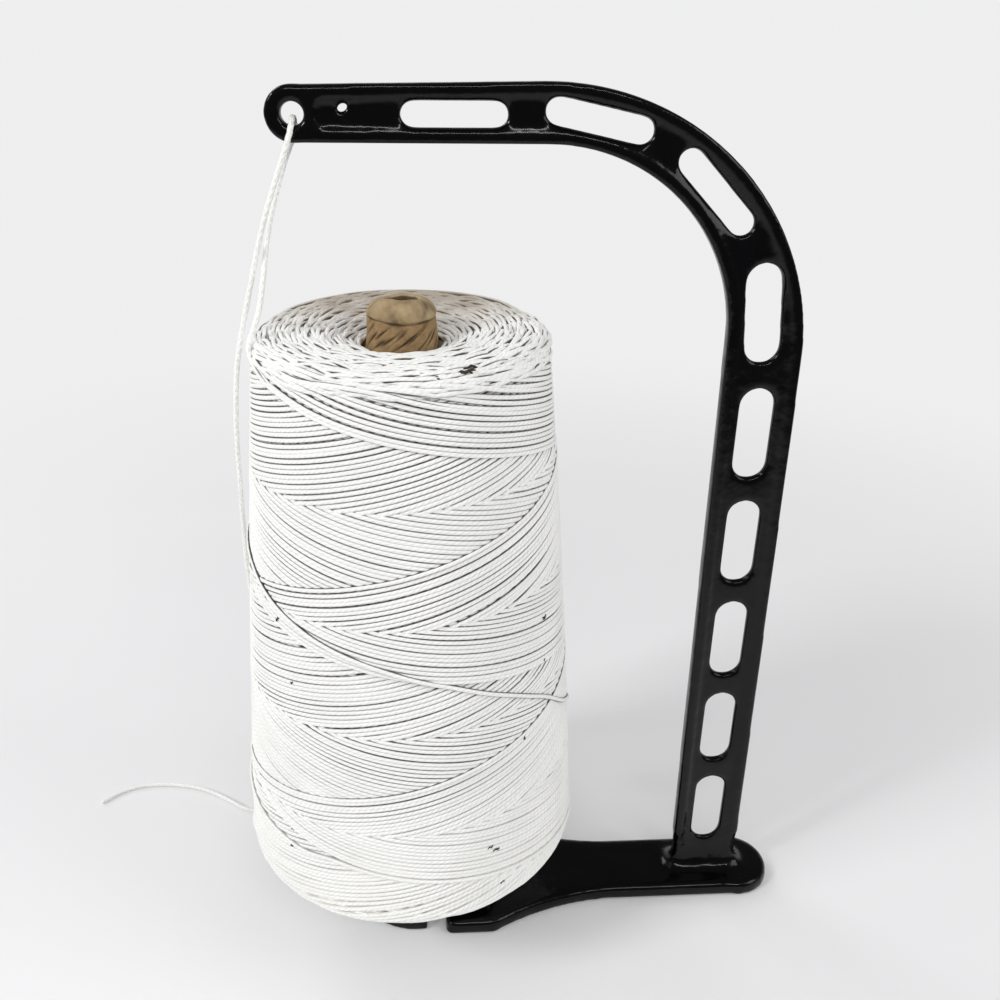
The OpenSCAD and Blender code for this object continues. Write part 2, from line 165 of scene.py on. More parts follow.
def kraftPaper(spec):
    # Kraft paperboard wound and glued into a cone: matt brown, blotched, short-fibred, with painted shade in
    # its creases and its slit
    material, tree, shader, spot = newMaterial("kraftPaper")
    blotch, fibre = (
        addNode(tree, "ShaderNodeTexNoise", {"Vector": spot, "Scale": 1 / size, "Detail": detail,
                                             "Roughness": spec["uneven"]}).outputs["Fac"]
        for size, detail in (spec["blotch"], spec["fibre"]))
    broad, fine, pale = (
        addNode(tree, "ShaderNodeValToRGB", {"Fac": pattern}, spec[colors]).outputs["Color"]
        for pattern, colors in ((blotch, "blotchColors"), (fibre, "fibreColors"), (blotch, "capColors")))
    paper = addNode(tree, "ShaderNodeMix", {0: spec["fibreShare"], 6: broad, 7: fine}, data_type="RGBA")
    # The folded cap has been handled and bleached, so it is greyer than the paper under it
    tall = addNode(tree, "ShaderNodeSeparateXYZ", {0: spot})
    cap = addNode(tree, "ShaderNodeMapRange", {"Value": tall.outputs["Z"], "From Min": spec["capFrom"][0],
                                               "From Max": spec["capFrom"][1], "To Max": spec["capShare"]})
    capped = addNode(tree, "ShaderNodeMix", {0: cap.outputs["Result"], 6: paper.outputs[2], 7: pale},
                     data_type="RGBA")
    # Painted shade: the paper is darker where it lies deep in a crease and inside the slit
    paintedShade = addNode(tree, "ShaderNodeAttribute", attribute_name="crease")
    share = addNode(tree, "ShaderNodeMapRange", {"Value": paintedShade.outputs["Fac"],
                                                 "From Min": spec["creaseShadeSpan"][0],
                                                 "From Max": spec["creaseShadeSpan"][1],
                                                 "To Max": spec["creaseShadeShare"]})
    creased = addNode(tree, "ShaderNodeMix", {0: share.outputs["Result"], 6: capped.outputs[2],
                                              7: linear(spec["creaseShadeColor"])}, data_type="RGBA")
    tree.links.new(creased.outputs[2], shader.inputs["Base Color"])
    shader.inputs["Roughness"].default_value = spec["rough"]
    bump = addNode(tree, "ShaderNodeBump", {"Height": fibre, "Strength": spec["bump"][0],
                                            "Distance": spec["bump"][1] * mm})
    tree.links.new(bump.outputs["Normal"], shader.inputs["Normal"])
    return material


# The lay is the length of one twist of a ply. The fuzz of cotton is finer than this, and is drawn as coarse
# as it needs to be to show
twineSet = {"plies": 3, "lay": 6.5, "ridge": (-1.0, 0.3), "dirt": (22.0, 5.0), "dirtUneven": 0.6,
            "dirtSpan": (0.3, 0.6), "fuzz": (0.6, 2.0), "fuzzShare": 0.3, "rough": 0.85, "specular": 0.25,
            "sheen": 0.15, "bump": (0.3, 0.22)}
# Painted shade and tint on the winding: how far a strand's side has to face out to be free of the painted
# shade between turns, the heights in millimetres where the nap hides those painted lines and where they are
# sharp, and the grey-brown tint on the back of the upper face
shadeAndTintSet = {"creviceShade": "#3d3a34", "fadedShade": "#e4e2dc", "facing": (0.16, 0.78), "nap": (30.0, 3.0),
           "napSwing": 70.0, "wornBelow": 58.0, "sharpAbove": 106.0, "backTint": "#8f7d66", "patch": (9.0, 4.0),
           "patchUneven": 0.6, "patchSwing": 40.0, "spread": 0.35, "full": 2.0, "none": 34.0, "most": 0.75,
           "upper": (234.0, 243.0), "inner": (46.0, 42.5)}


def shadeAndTint(tree, spot, color, spec):
    # The sides of a wound strand, down between its neighbours, get painted shade; outWay points out of the
    # package
    out = addNode(tree, "ShaderNodeAttribute", attribute_name="outWay").outputs["Vector"]
    normal = addNode(tree, "ShaderNodeTexCoord").outputs["Normal"]
    facing = addNode(tree, "ShaderNodeVectorMath", {0: normal, 1: out},
                     operation="DOT_PRODUCT").outputs["Value"]
    unshaded = addNode(tree, "ShaderNodeMapRange", {"Value": facing, "From Min": spec["facing"][0],
                                                 "From Max": spec["facing"][1]},
                    interpolation_type="SMOOTHSTEP")
    # Rubbing has raised a nap over the lower turns, so the painted shade in the lines between them is faint
    tall = addNode(tree, "ShaderNodeSeparateXYZ", {0: spot}).outputs["Z"]
    size, detail = spec["nap"]
    rubbed = addNode(tree, "ShaderNodeTexNoise", {"Vector": spot, "Scale": 1 / size, "Detail": detail})
    nap = addNode(tree, "ShaderNodeMath", {0: rubbed.outputs["Fac"], 1: spec["napSwing"], 2: tall},
                  operation="MULTIPLY_ADD")
    middle = spec["napSwing"] / 2
    sharp = addNode(tree, "ShaderNodeMapRange", {"Value": nap.outputs[0],
                                                 "From Min": spec["wornBelow"] + middle,
                                                 "From Max": spec["sharpAbove"] + middle})
    line = addNode(tree, "ShaderNodeMix", {0: sharp.outputs["Result"], 6: linear(spec["fadedShade"]),
                                           7: linear(spec["creviceShade"])}, data_type="RGBA")
    lined = addNode(tree, "ShaderNodeMix", {0: unshaded.outputs["Result"], 6: line.outputs[2], 7: color},
                    data_type="RGBA")
    # A grey-brown tint lies on the back half of the upper face, short of its edge
    flat = addNode(tree, "ShaderNodeVectorMath", {0: spot, 1: (1, 1, 0)}, operation="MULTIPLY")
    reach = addNode(tree, "ShaderNodeVectorMath", {0: flat.outputs[0]}, operation="LENGTH").outputs["Value"]
    front = addNode(tree, "ShaderNodeVectorMath", {0: spot, 1: (0, -1, 0)}, operation="DOT_PRODUCT")
    sided = addNode(tree, "ShaderNodeMath", {0: reach, 1: spec["spread"], 2: front.outputs["Value"]},
                    operation="MULTIPLY_ADD")
    size, detail = spec["patch"]
    cloud = addNode(tree, "ShaderNodeTexNoise", {"Vector": spot, "Scale": 1 / size, "Detail": detail,
                                                 "Roughness": spec["patchUneven"]})
    patch = addNode(tree, "ShaderNodeMath",
                    {0: cloud.outputs["Fac"], 1: spec["patchSwing"], 2: sided.outputs[0]},
                    operation="MULTIPLY_ADD")
    backTinted = addNode(tree, "ShaderNodeMapRange", {"Value": patch.outputs[0], "From Min": spec["full"],
                                                 "From Max": spec["none"], "To Min": spec["most"],
                                                 "To Max": 0.0})
    share = backTinted.outputs["Result"]
    for value, (first, last) in ((tall, spec["upper"]), (reach, spec["inner"])):
        within = addNode(tree, "ShaderNodeMapRange", {"Value": value, "From Min": first, "From Max": last})
        share = addNode(tree, "ShaderNodeMath", {0: share, 1: within.outputs["Result"]},
                        operation="MULTIPLY").outputs[0]
    return addNode(tree, "ShaderNodeMix", {0: share, 6: lined.outputs[2], 7: linear(spec["backTint"])},
                   data_type="RGBA").outputs[2]


def cottonTwine(name, spec, pale, dull, grooveShade, shadeTint=None):
    # Undyed cotton, three plies twisted together: matt, off-white, with ridges that wind round the strand, a
    # fine fuzz, and painted shade a little darker in the grooves between the plies. The place round the
    # strand and along it comes from the swept mesh
    material, tree, shader, spot = newMaterial(name)
    cosine, sine, along = (addNode(tree, "ShaderNodeAttribute", attribute_name=kept).outputs["Fac"]
                           for kept in ("plyCos", "plySin", "plyLength"))
    angle = addNode(tree, "ShaderNodeMath", {0: sine, 1: cosine}, operation="ARCTAN2")
    turn = addNode(tree, "ShaderNodeMath", {0: along, 1: 2 * math.pi * spec["plies"] / (spec["lay"] * mm)},
                   operation="MULTIPLY")
    phase = addNode(tree, "ShaderNodeMath",
                    {0: angle.outputs[0], 1: float(spec["plies"]), 2: turn.outputs[0]},
                    operation="MULTIPLY_ADD")
    wave = addNode(tree, "ShaderNodeMath", {0: phase.outputs[0]}, operation="COSINE")
    ridge = addNode(tree, "ShaderNodeMapRange", {"Value": wave.outputs[0], "From Min": spec["ridge"][0],
                                                 "From Max": spec["ridge"][1]}).outputs["Result"]
    size, detail = spec["dirt"]
    dirt = addNode(tree, "ShaderNodeTexNoise", {"Vector": spot, "Scale": 1 / size, "Detail": detail,
                                                "Roughness": spec["dirtUneven"]})
    cotton = addNode(tree, "ShaderNodeValToRGB", {"Fac": dirt.outputs["Fac"]},
                     list(zip(spec["dirtSpan"], (dull, pale))))
    # The grooves between the plies take the painted shade colour
    color = addNode(tree, "ShaderNodeMix", {0: ridge, 6: linear(grooveShade), 7: cotton.outputs["Color"]},
                    data_type="RGBA").outputs[2]
    # Painted shade between the turns, and a grey-brown tint on the back of the upper face
    if shadeTint:
        color = shadeAndTint(tree, spot, color, shadeTint)
    tree.links.new(color, shader.inputs["Base Color"])
    shader.inputs["Roughness"].default_value = spec["rough"]
    shader.inputs["Specular IOR Level"].default_value = spec["specular"]
    shader.inputs["Sheen Weight"].default_value = spec["sheen"]
    size, detail = spec["fuzz"]
    fuzz = addNode(tree, "ShaderNodeTexNoise", {"Vector": spot, "Scale": 1 / size, "Detail": detail})
    height = addNode(tree, "ShaderNodeMath", {0: fuzz.outputs["Fac"], 1: spec["fuzzShare"], 2: ridge},
                     operation="MULTIPLY_ADD")
    bump = addNode(tree, "ShaderNodeBump", {"Height": height.outputs[0], "Strength": spec["bump"][0],
                                            "Distance": spec["bump"][1] * mm})
    tree.links.new(bump.outputs["Normal"], shader.inputs["Normal"])
    return material


fibreSet = {"detail": 4.0, "uneven": 0.6, "span": (0.3, 0.7)}


def fibreMatt(name, spec, dark, light, size, rough):
    # Matt cotton fibre with no plies to see, blotched between a dark and a light colour: painted shade for
    # the body under the outer turns, and dark lint and painted gap shade for the specks
    material, tree, shader, spot = newMaterial(name)
    blotch = addNode(tree, "ShaderNodeTexNoise", {"Vector": spot, "Scale": 1 / size, "Detail": spec["detail"],
                                                  "Roughness": spec["uneven"]})
    color = addNode(tree, "ShaderNodeValToRGB", {"Fac": blotch.outputs["Fac"]},
                    list(zip(spec["span"], (dark, light))))
    tree.links.new(color.outputs["Color"], shader.inputs["Base Color"])
    shader.inputs["Roughness"].default_value = rough
    return material


enamel = blackEnamel(enamelSet)
steel = turnedSteel(steelSet)
kraft = kraftPaper(paperSet)
twine = cottonTwine("cottonTwine", twineSet, pale="#f9f9f7", dull="#f2f2ee", grooveShade="#efeee9")
twineWound = cottonTwine("cottonTwineWound", twineSet, pale="#f9f9f7", dull="#f0f0ed", grooveShade="#edece8",
                         shadeTint=shadeAndTintSet)
# The body under the outer turns is painted dark as the shade seen in the gaps between them
twineShade = fibreMatt("cottonTwineUnderShade", fibreSet, dark="#8b8373", light="#aaa191", size=6.0, rough=0.95)
# Dark lint, and dark fibres that stand for painted shade in a gap on the upper face
darkLintAndShade = fibreMatt("lintFibreAndShade", fibreSet, dark="#2b2620", light="#463e34", size=1.0, rough=0.9)
print("stage: materials")


def meshObject(name, verts, faces, material):
    mesh = bpy.data.meshes.new(name)
    mesh.from_pydata([tuple(v) for v in verts], [], [tuple(f) for f in faces])
    mesh.materials.append(material)
    mesh.shade_smooth()
    obj = bpy.data.objects.new(name, mesh)
    scene.collection.objects.link(obj)
    return obj


def plainCopy(obj):
    # The evaluated mesh takes the place of the object's own, and its modifiers go
    depsgraph = bpy.context.evaluated_depsgraph_get()
    mesh = bpy.data.meshes.new_from_object(obj.evaluated_get(depsgraph), depsgraph=depsgraph)
    mesh.name = obj.name
    old = obj.data
    obj.modifiers.clear()
    obj.data = mesh
    bpy.data.meshes.remove(old)


# Stand: the casting's own solid, its edges softened as sand casting and thick enamel leave them
standSet = {"weld": 0.001, "voxel": 0.7, "factor": 0.5, "smoothing": 26, "baseSmoothing": 90, "flat": 0.8,
            "flatFade": 1.5, "baseTop": 24.0, "topFade": 4.0}


def buildStand(spec):
    mesh = nodes["stand_casting"].data.copy()
    work = bmesh.new()
    work.from_mesh(mesh)
    bmesh.ops.remove_doubles(work, verts=work.verts, dist=spec["weld"] * mm)
    work.to_mesh(mesh)
    work.free()
    mesh.materials.clear()
    mesh.materials.append(enamel)
    obj = bpy.data.objects.new("standCast", mesh)
    scene.collection.objects.link(obj)
    remesh = obj.modifiers.new("remesh", "REMESH")
    remesh.mode = "VOXEL"
    remesh.voxel_size = spec["voxel"] * mm
    soften = obj.modifiers.new("soften", "SMOOTH")
    soften.factor = spec["factor"]
    soften.iterations = spec["smoothing"]
    plainCopy(obj)
    # The plate and the post's root are rounder than the arm; the underside stays flat
    group = obj.vertex_groups.new(name="plate")
    for vertex in obj.data.vertices:
        z = vertex.co.z / mm
        rising = min(1.0, max(0.0, (z - spec["flat"]) / spec["flatFade"]))
        falling = min(1.0, max(0.0, (spec["baseTop"] - z) / spec["topFade"]))
        group.add([vertex.index], rising * falling, "REPLACE")
    rounder = obj.modifiers.new("rounder", "SMOOTH")
    rounder.factor = spec["factor"]
    rounder.iterations = spec["baseSmoothing"]
    rounder.vertex_group = "plate"
    plainCopy(obj)
    obj.vertex_groups.clear()
    obj.data.shade_smooth()
    return obj


standCast = buildStand(standSet)
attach(standCast, "stand")
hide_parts("stand_casting")
print("stage: stand", len(standCast.data.polygons))

for name, material in (("spindle", steel), ("thrust_washer", steel), ("cone_seat", enamel)):
    nodes[name].data.materials.clear()
    nodes[name].data.materials.append(material)
print("stage: spindle and seat")


def twineSweep():
    # Sweeps a round strand along a path of edges and keeps where each point lies on the strand
    tree = bpy.data.node_groups.new("twineSweep", "GeometryNodeTree")
    face = tree.interface
    face.new_socket("Path", in_out="INPUT", socket_type="NodeSocketGeometry")
    face.new_socket("Strand diameter", in_out="INPUT", socket_type="NodeSocketFloat")
    face.new_socket("Sides", in_out="INPUT", socket_type="NodeSocketInt")
    face.new_socket("Strand material", in_out="INPUT", socket_type="NodeSocketMaterial")
    face.new_socket("Strand", in_out="OUTPUT", socket_type="NodeSocketGeometry")
    given = addNode(tree, "NodeGroupInput")
    half = addNode(tree, "ShaderNodeMath", {0: given.outputs["Strand diameter"], 1: 0.5},
                   operation="MULTIPLY")
    line = addNode(tree, "GeometryNodeMeshToCurve", {"Mesh": given.outputs["Path"]})
    lineSpot = addNode(tree, "GeometryNodeSplineParameter")
    lineKept = addNode(tree, "GeometryNodeStoreNamedAttribute", {
        "Geometry": line.outputs[0], "Name": "plyLength", "Value": lineSpot.outputs["Length"]},
        data_type="FLOAT", domain="POINT")
    ring = addNode(tree, "GeometryNodeCurvePrimitiveCircle", {
        "Resolution": given.outputs["Sides"], "Radius": half.outputs[0]}, mode="RADIUS")
    ringSpot = addNode(tree, "GeometryNodeSplineParameter")
    turn = addNode(tree, "ShaderNodeMath", {0: ringSpot.outputs["Factor"], 1: 2 * math.pi},
                   operation="MULTIPLY")
    kept = ring.outputs[0]
    for name, operation in (("plyCos", "COSINE"), ("plySin", "SINE")):
        value = addNode(tree, "ShaderNodeMath", {0: turn.outputs[0]}, operation=operation)
        store = addNode(tree, "GeometryNodeStoreNamedAttribute", {
            "Geometry": kept, "Name": name, "Value": value.outputs[0]}, data_type="FLOAT", domain="POINT")
        kept = store.outputs[0]
    sweep = addNode(tree, "GeometryNodeCurveToMesh", {
        "Curve": lineKept.outputs[0], "Profile Curve": kept, "Fill Caps": True})
    real = addNode(tree, "GeometryNodeRealizeInstances", {"Geometry": sweep.outputs[0]})
    dressed = addNode(tree, "GeometryNodeSetMaterial", {
        "Geometry": real.outputs[0], "Material": given.outputs["Strand material"]})
    addNode(tree, "NodeGroupOutput", {"Strand": dressed.outputs[0]})
    return tree


sweepTree = twineSweep()
sweepSockets = {item.name: item.identifier for item in sweepTree.interface.items_tree
                if item.in_out == "INPUT"}


def sweepStrands(name, paths, diameter, sides, material, outs=None):
    # paths are lists of points in millimetres, each one strand, and outs the way out of the package at each
    verts, edges = [], []
    for path in paths:
        first = len(verts)
        verts.extend((np.asarray(path) * mm).tolist())
        edges.extend((first + i, first + i + 1) for i in range(len(path) - 1))
    mesh = bpy.data.meshes.new(name)
    mesh.from_pydata(verts, edges, [])
    if outs is not None:
        outWay = mesh.attributes.new("outWay", "FLOAT_VECTOR", "POINT")
        outWay.data.foreach_set("vector", np.concatenate(outs).ravel())
    obj = bpy.data.objects.new(name, mesh)
    scene.collection.objects.link(obj)
    modifier = obj.modifiers.new("sweep", "NODES")
    modifier.node_group = sweepTree
    modifier[sweepSockets["Strand diameter"]] = diameter * mm
    modifier[sweepSockets["Sides"]] = sides
    modifier[sweepSockets["Strand material"]] = material
    plainCopy(obj)
    obj.data.shade_smooth()
    print("   ", name, len(obj.data.polygons))
    return obj


def smoothPath(points, step, perSpan=24):
    # A smooth curve through the points, resampled evenly
    p = np.asarray(points, float)
    ends = np.vstack([2 * p[0] - p[1], p, 2 * p[-1] - p[-2]])
    fine = []
    for i in range(1, len(ends) - 2):
        a, b, c, d = ends[i - 1:i + 3]
        for t in np.linspace(0, 1, perSpan, endpoint=False):
            fine.append(0.5 * (2 * b + (c - a) * t + (2 * a - 5 * b + 4 * c - d) * t ** 2
                               + (3 * b - a - 3 * c + d) * t ** 3))
    fine = np.array(fine + [p[-1]])
    run = np.concatenate([[0], np.cumsum(np.linalg.norm(np.diff(fine, axis=0), axis=1))])
    count = max(2, int(round(run[-1] / step)) + 1)
    return np.stack([np.interp(np.linspace(0, run[-1], count), run, fine[:, k]) for k in range(3)], 1)


# Package: its outline, then one strand laid up and down the flank, each stroke over the ones before it. A
# strand bridges some degrees of what lies below, bites into it a little, and is lower at its sides
packSet = {"z0": 42.0, "z1": 244.0, "r0": 64.6, "r1": 48.2, "bulge": 0.9, "edge0": 9.0, "edge1": 6.0,
           "lean": (-1.4, 0.35), "lowInner": 30.0, "topInner": 12.4, "dish": 5.5, "dishWidth": 20,
           "dishPower": 1.6, "depth": 3.6, "twine": 1.7, "sides": 6, "layer": 1.1, "bridge": 6, "bite": 0.2,
           "side": 0.15, "evening": 3, "cap": 1.2, "capGain": 0.8, "high": 241.4, "stroke": 196.8,
           "turns": 2.5104, "strokes": 96, "pastLow": (0.0, 4.0), "lowBend": 20, "pastHigh": (0.0, 3.5),
           "highBend": 14, "wander": 0.14, "knots": 12, "stray": 0.08, "endTurn": 24, "end": 183.0,
           "leave": 197.0, "front": 270, "tilt": 1.2, "slackBlend": 60, "lastEvening": 5, "step": 4,
           "seed": 7, "pieces": 4}
# Points along the outline's parts, its even steps, and the height map's cells round it and per millimetre
gridSet = {"low": 60, "flank": 3000, "top": 90, "step": 0.25, "evening": 4, "degrees": 360, "cells": 2}
# Upper face: short arcs in rings, and a few loose turns along the back of its edge, as degrees from and to,
# how far in, and how high
topSet = {"ring": 1.1, "inset": 0.6, "hump": 8.0, "fewest": 5, "points": 9, "reach": 9.0,
          "reachSpread": (0.8, 1.3), "shift": 0.4, "stray": 0.35, "dip": 2.0, "dipPower": 1.8, "lean": 0.9,
          "lift": (0.9, 1.9), "lowest": 237.5, "margin": 0.3, "seed": 3, "loosePoints": 60, "looseDip": 2.6,
          "loosePower": 6, "looseSwing": 0.8, "looseWaves": 5,
          "looseTurns": [(38, 148, -3.5, 2.2), (20, 112, -1.2, 2.0), (78, 170, -2.2, 1.9)]}
lowSet = {"first": 1.0, "lastHeight": 45.0, "pitch": 1.75, "stray": 0.3, "swings": 4, "evening": 8,
          "cap": 0.4, "step": 5, "seed": 11}
# The newest turn hangs slack where it goes round for the second time: degrees round and height
slackTurn = [(500, 178), (530, 175.5), (550, 173), (566, 168), (582, 162.6), (597.5, 157.4), (613, 153),
             (628.8, 148.2), (647.5, 141.2), (668.8, 131.2), (685, 121.8), (700, 109), (710, 103), (720, 96),
             (732, 89), (750, 83), (790, 78), (860, 74), (900, 72.5), (960, 70)]


def packRadius(z):
    s = packSet
    share = (np.asarray(z, float) - s["z0"]) / (s["z1"] - s["z0"])
    radius = s["r0"] + (s["r1"] - s["r0"]) * share + 4 * s["bulge"] * share * (1 - share)
    low = np.clip(s["edge0"] - (z - s["z0"]), 0, s["edge0"])
    high = np.clip(s["edge1"] - (s["z1"] - z), 0, s["edge1"])
    radius = radius - (s["edge0"] - np.sqrt(s["edge0"] ** 2 - low ** 2))
    return radius - (s["edge1"] - np.sqrt(s["edge1"] ** 2 - high ** 2))


def leanAt(z):
    # The cone sits a little askew on its seat
    return np.interp(z, (packSet["z0"], packSet["z1"]), packSet["lean"])


def evened(values, reach):
    width = 2 * reach + 1
    return np.convolve(np.pad(values, reach, mode="edge"), np.ones(width) / width, mode="valid")


class WoundSurface:
    # The package's outline, run along from its lower face over the flank to the nose, and the height of the
    # twine on it
    def __init__(self, s, grid):
        swing = (1 - np.cos(np.linspace(0, math.pi, grid["flank"]))) / 2
        self.flankZ = s["z0"] + (s["z1"] - s["z0"]) * swing
        flank = np.stack([packRadius(self.flankZ), self.flankZ], 1)
        inward = np.linspace(s["lowInner"], flank[0, 0], grid["low"], endpoint=False)
        low = np.stack([inward, np.full(grid["low"], s["z0"])], 1)
        across = np.linspace(flank[-1, 0], s["topInner"], grid["top"])[1:]
        sunk = np.clip(1 - (across - s["topInner"]) / s["dishWidth"], 0, 1) ** s["dishPower"]
        top = np.stack([across, s["z1"] - s["dish"] * sunk], 1)
        outline = np.concatenate([low, flank, top])
        length = np.concatenate([[0], np.cumsum(np.linalg.norm(np.diff(outline, axis=0), axis=1))])
        self.flankRun = length[grid["low"]:grid["low"] + grid["flank"]]
        self.end = length[-1]
        self.run = np.arange(0, self.end, grid["step"])
        self.line = np.stack([np.interp(self.run, length, outline[:, k]) for k in (0, 1)], 1)
        way = np.stack([evened(v, grid["evening"]) for v in np.gradient(self.line, axis=0).T], 1)
        way /= np.linalg.norm(way, axis=1)[:, None]
        self.out = np.stack([way[:, 1], -way[:, 0]], 1)
        self.degrees, self.cells = grid["degrees"], grid["cells"]
        self.height = np.zeros((self.degrees, int(self.end * self.cells) + 3))

    def runAt(self, z):
        return np.interp(z, self.flankZ, self.flankRun)

    def heightAt(self, angle, run):
        return self.height[int(angle) % self.degrees, int(run * self.cells)]

    def lay(self, angle, run, cap):
        # How high a new strand rests on what is there, which it then adds to
        a = np.round(angle).astype(int) % self.degrees
        k = np.clip(np.round(run * self.cells).astype(int), 1, self.height.shape[1] - 2)
        under = self.height[a, k]
        rest = np.minimum(np.maximum(evened(under, packSet["bridge"]), under - packSet["bite"]), cap)
        for j in (-1, 0, 1):
            np.maximum.at(self.height, (a, k + j), rest + packSet["layer"] - packSet["side"] * abs(j))
        return rest

    def place(self, angle, run, up):
        # Points that lie up millimetres off the outline, and the way out there
        r, z = (np.interp(run, self.run, self.line[:, k]) for k in (0, 1))
        outR, outZ = (np.interp(run, self.run, self.out[:, k]) for k in (0, 1))
        c, d = np.cos(np.radians(angle)), np.sin(np.radians(angle))
        points = np.stack([(r + up * outR) * c, (r + up * outR) * d, z + up * outZ], 1)
        points[:, 0] += leanAt(points[:, 2])
        return points, np.stack([outR * c, outR * d, outZ], 1)

    def strand(self, angle, run, rest, step):
        up = evened(rest, packSet["evening"]) - packSet["depth"] + packSet["twine"] / 2
        points, outs = self.place(angle, run, up)
        return points[::step], outs[::step]


def lowerTurns(surface, spec):
    # Turns wandering round the lower face and up to the flank
    rng = np.random.default_rng(spec["seed"])
    first, last = spec["first"], surface.runAt(spec["lastHeight"])
    turns = abs(last - first) / spec["pitch"]
    t = np.linspace(0, 1, int(turns * 360))
    knots = np.linspace(0, 1, int(turns * spec["swings"]))
    stray = spec["stray"] * np.interp(t, knots, rng.normal(0, 1, len(knots)))
    run = first + (last - first) * t + evened(stray, spec["evening"])
    angle = 360 * turns * t
    return surface.strand(angle, run, surface.lay(angle, run, spec["cap"]), spec["step"])


def upperHumps(surface, spec):
    # Each stroke of the layers below shows on the upper face as a short arc where it turned back
    rng = np.random.default_rng(spec["seed"])
    humps = []
    for ring in np.arange(surface.runAt(spec["lowest"]), surface.end - spec["inset"], spec["ring"]):
        radius = float(np.interp(ring, surface.run, surface.line[:, 0]))
        count = max(spec["fewest"], int(2 * math.pi * radius / spec["hump"]))
        for k in range(count):
            u = np.linspace(-1, 1, spec["points"])
            reach = spec["reach"] * rng.uniform(*spec["reachSpread"]) / radius
            angle = 360 * (k + rng.uniform(-spec["shift"], spec["shift"])) / count + np.degrees(reach) * u
            run = ring + rng.normal(0, spec["stray"]) + spec["lean"] * rng.normal() * u
            dip = spec["dip"] * np.abs(u) ** spec["dipPower"]
            up = rng.uniform(*spec["lift"]) - dip - packSet["depth"] + packSet["twine"] / 2
            humps.append(surface.place(angle, np.clip(run, 0, surface.end - spec["margin"]), up))
    for first, last, inward, lift in spec["looseTurns"]:
        u = np.linspace(-1, 1, spec["loosePoints"])
        dip = spec["looseDip"] * np.abs(u) ** spec["loosePower"]
        up = lift - dip - packSet["depth"] + packSet["twine"] / 2
        angle = (first + last) / 2 + (last - first) / 2 * u
        run = surface.runAt(packSet["z1"]) + inward + spec["looseSwing"] * np.sin(spec["looseWaves"] * u)
        humps.append(surface.place(angle, run, up))
    return humps


def flankStrand(surface, s):
    rng = np.random.default_rng(s["seed"])
    high = float(surface.runAt(s["high"]))
    low = high - s["stroke"]
    samples = int(360 * s["turns"])
    t = np.arange(samples) / samples
    runs = []
    for stroke in range(s["strokes"]):
        rising = (s["strokes"] - 1 - stroke) % 2 == 0
        run = low + s["stroke"] * t if rising else high - s["stroke"] * t
        bend = np.clip((run - high + s["highBend"]) / s["highBend"], 0, 1) ** 2
        run = run + rng.uniform(*s["pastHigh"]) * bend
        bend = np.clip((low + s["lowBend"] - run) / s["lowBend"], 0, 1) ** 2
        run = run - rng.uniform(*s["pastLow"]) * bend
        wander = s["wander"] * np.interp(t, np.linspace(0, 1, s["knots"]), rng.normal(0, 1, s["knots"]))
        runs.append(run + wander + rng.normal(0, s["stray"]))
    run = evened(np.concatenate(runs), s["endTurn"])
    angle = s["end"] + 360 * s["turns"] * (s["strokes"] - np.arange(len(run)) / samples)
    run = run + s["tilt"] * np.sin(np.radians(angle - s["front"]))
    places, heights = np.array(slackTurn).T
    slack = (angle > places[0] - s["slackBlend"]) & (angle < places[-1])
    share = np.clip((angle[slack] - places[0] + s["slackBlend"]) / s["slackBlend"], 0, 1)
    run[slack] = run[slack] * (1 - share) + share * surface.runAt(np.interp(angle[slack], places, heights))
    run[-samples:] = evened(run[-samples:], s["lastEvening"])
    kept = angle >= s["leave"]
    angle, run = angle[kept], run[kept]
    rest = []
    for stroke in range(s["strokes"]):
        part = slice(stroke * samples, (stroke + 1) * samples)
        rest.append(surface.lay(angle[part], run[part], s["cap"] + s["capGain"] * stroke / s["strokes"]))
    return surface.strand(angle, run, np.concatenate(rest), s["step"])


surface = WoundSurface(packSet, gridSet)
topFace = upperHumps(surface, topSet)
lowPath, lowOuts = lowerTurns(surface, lowSet)
flankPath, flankOuts = flankStrand(surface, packSet)
cuts = np.linspace(0, len(flankPath) - 1, packSet["pieces"] + 1).astype(int)
woundLayers = []
for i in range(packSet["pieces"]):
    part = slice(cuts[i], cuts[i + 1] + 1)
    woundLayers.append(sweepStrands(f"woundLayer{i + 1}", [flankPath[part]], packSet["twine"],
                                    packSet["sides"], twineWound, [flankOuts[part]]))
topTurns = sweepStrands("topTurns", [points for points, outs in topFace], packSet["twine"], packSet["sides"],
                        twineWound, [outs for points, outs in topFace])
# Specks of dark lint caught in the turns, and on the upper face near the front dark fibres as painted shade
# in a gap
# between strands: degrees round, height, length along the turn, and lift
lintAndShadeSet = {"thickness": 0.6, "sides": 5, "fibres": 2, "points": 6, "shift": 0.25, "curl": 0.3, "slant": 0.5,
           "lumps": 0.12, "ends": 1.2, "seed": 2, "specks": [
               (221.7, 157.7, 2.4, 0.5), (229.1, 137.1, 1.6, 0.5), (227.6, 75.2, 2.0, 1.9),
               (228.3, 69.8, 1.4, 1.2), (326.5, 152.2, 3.0, 0.5), (297.5, 73.5, 3.5, 0.5),
               (299.5, 71.0, 4.0, 0.5), (301.6, 55.0, 3.0, 0.5), (312.6, 111.7, 1.2, 0.5),
               (325.4, 136.3, 1.4, 0.5), (296.5, 243.2, 7.5, 3.1), (297.6, 243.6, 5.5, 3.2),
               (295.4, 242.8, 4.5, 3.0), (284.0, 242.6, 2.0, 2.6), (118.0, 190.0, 2.2, 0.5),
               (64.0, 120.0, 1.8, 0.5), (152.0, 96.0, 2.0, 0.5), (20.0, 168.0, 1.6, 0.5)]}


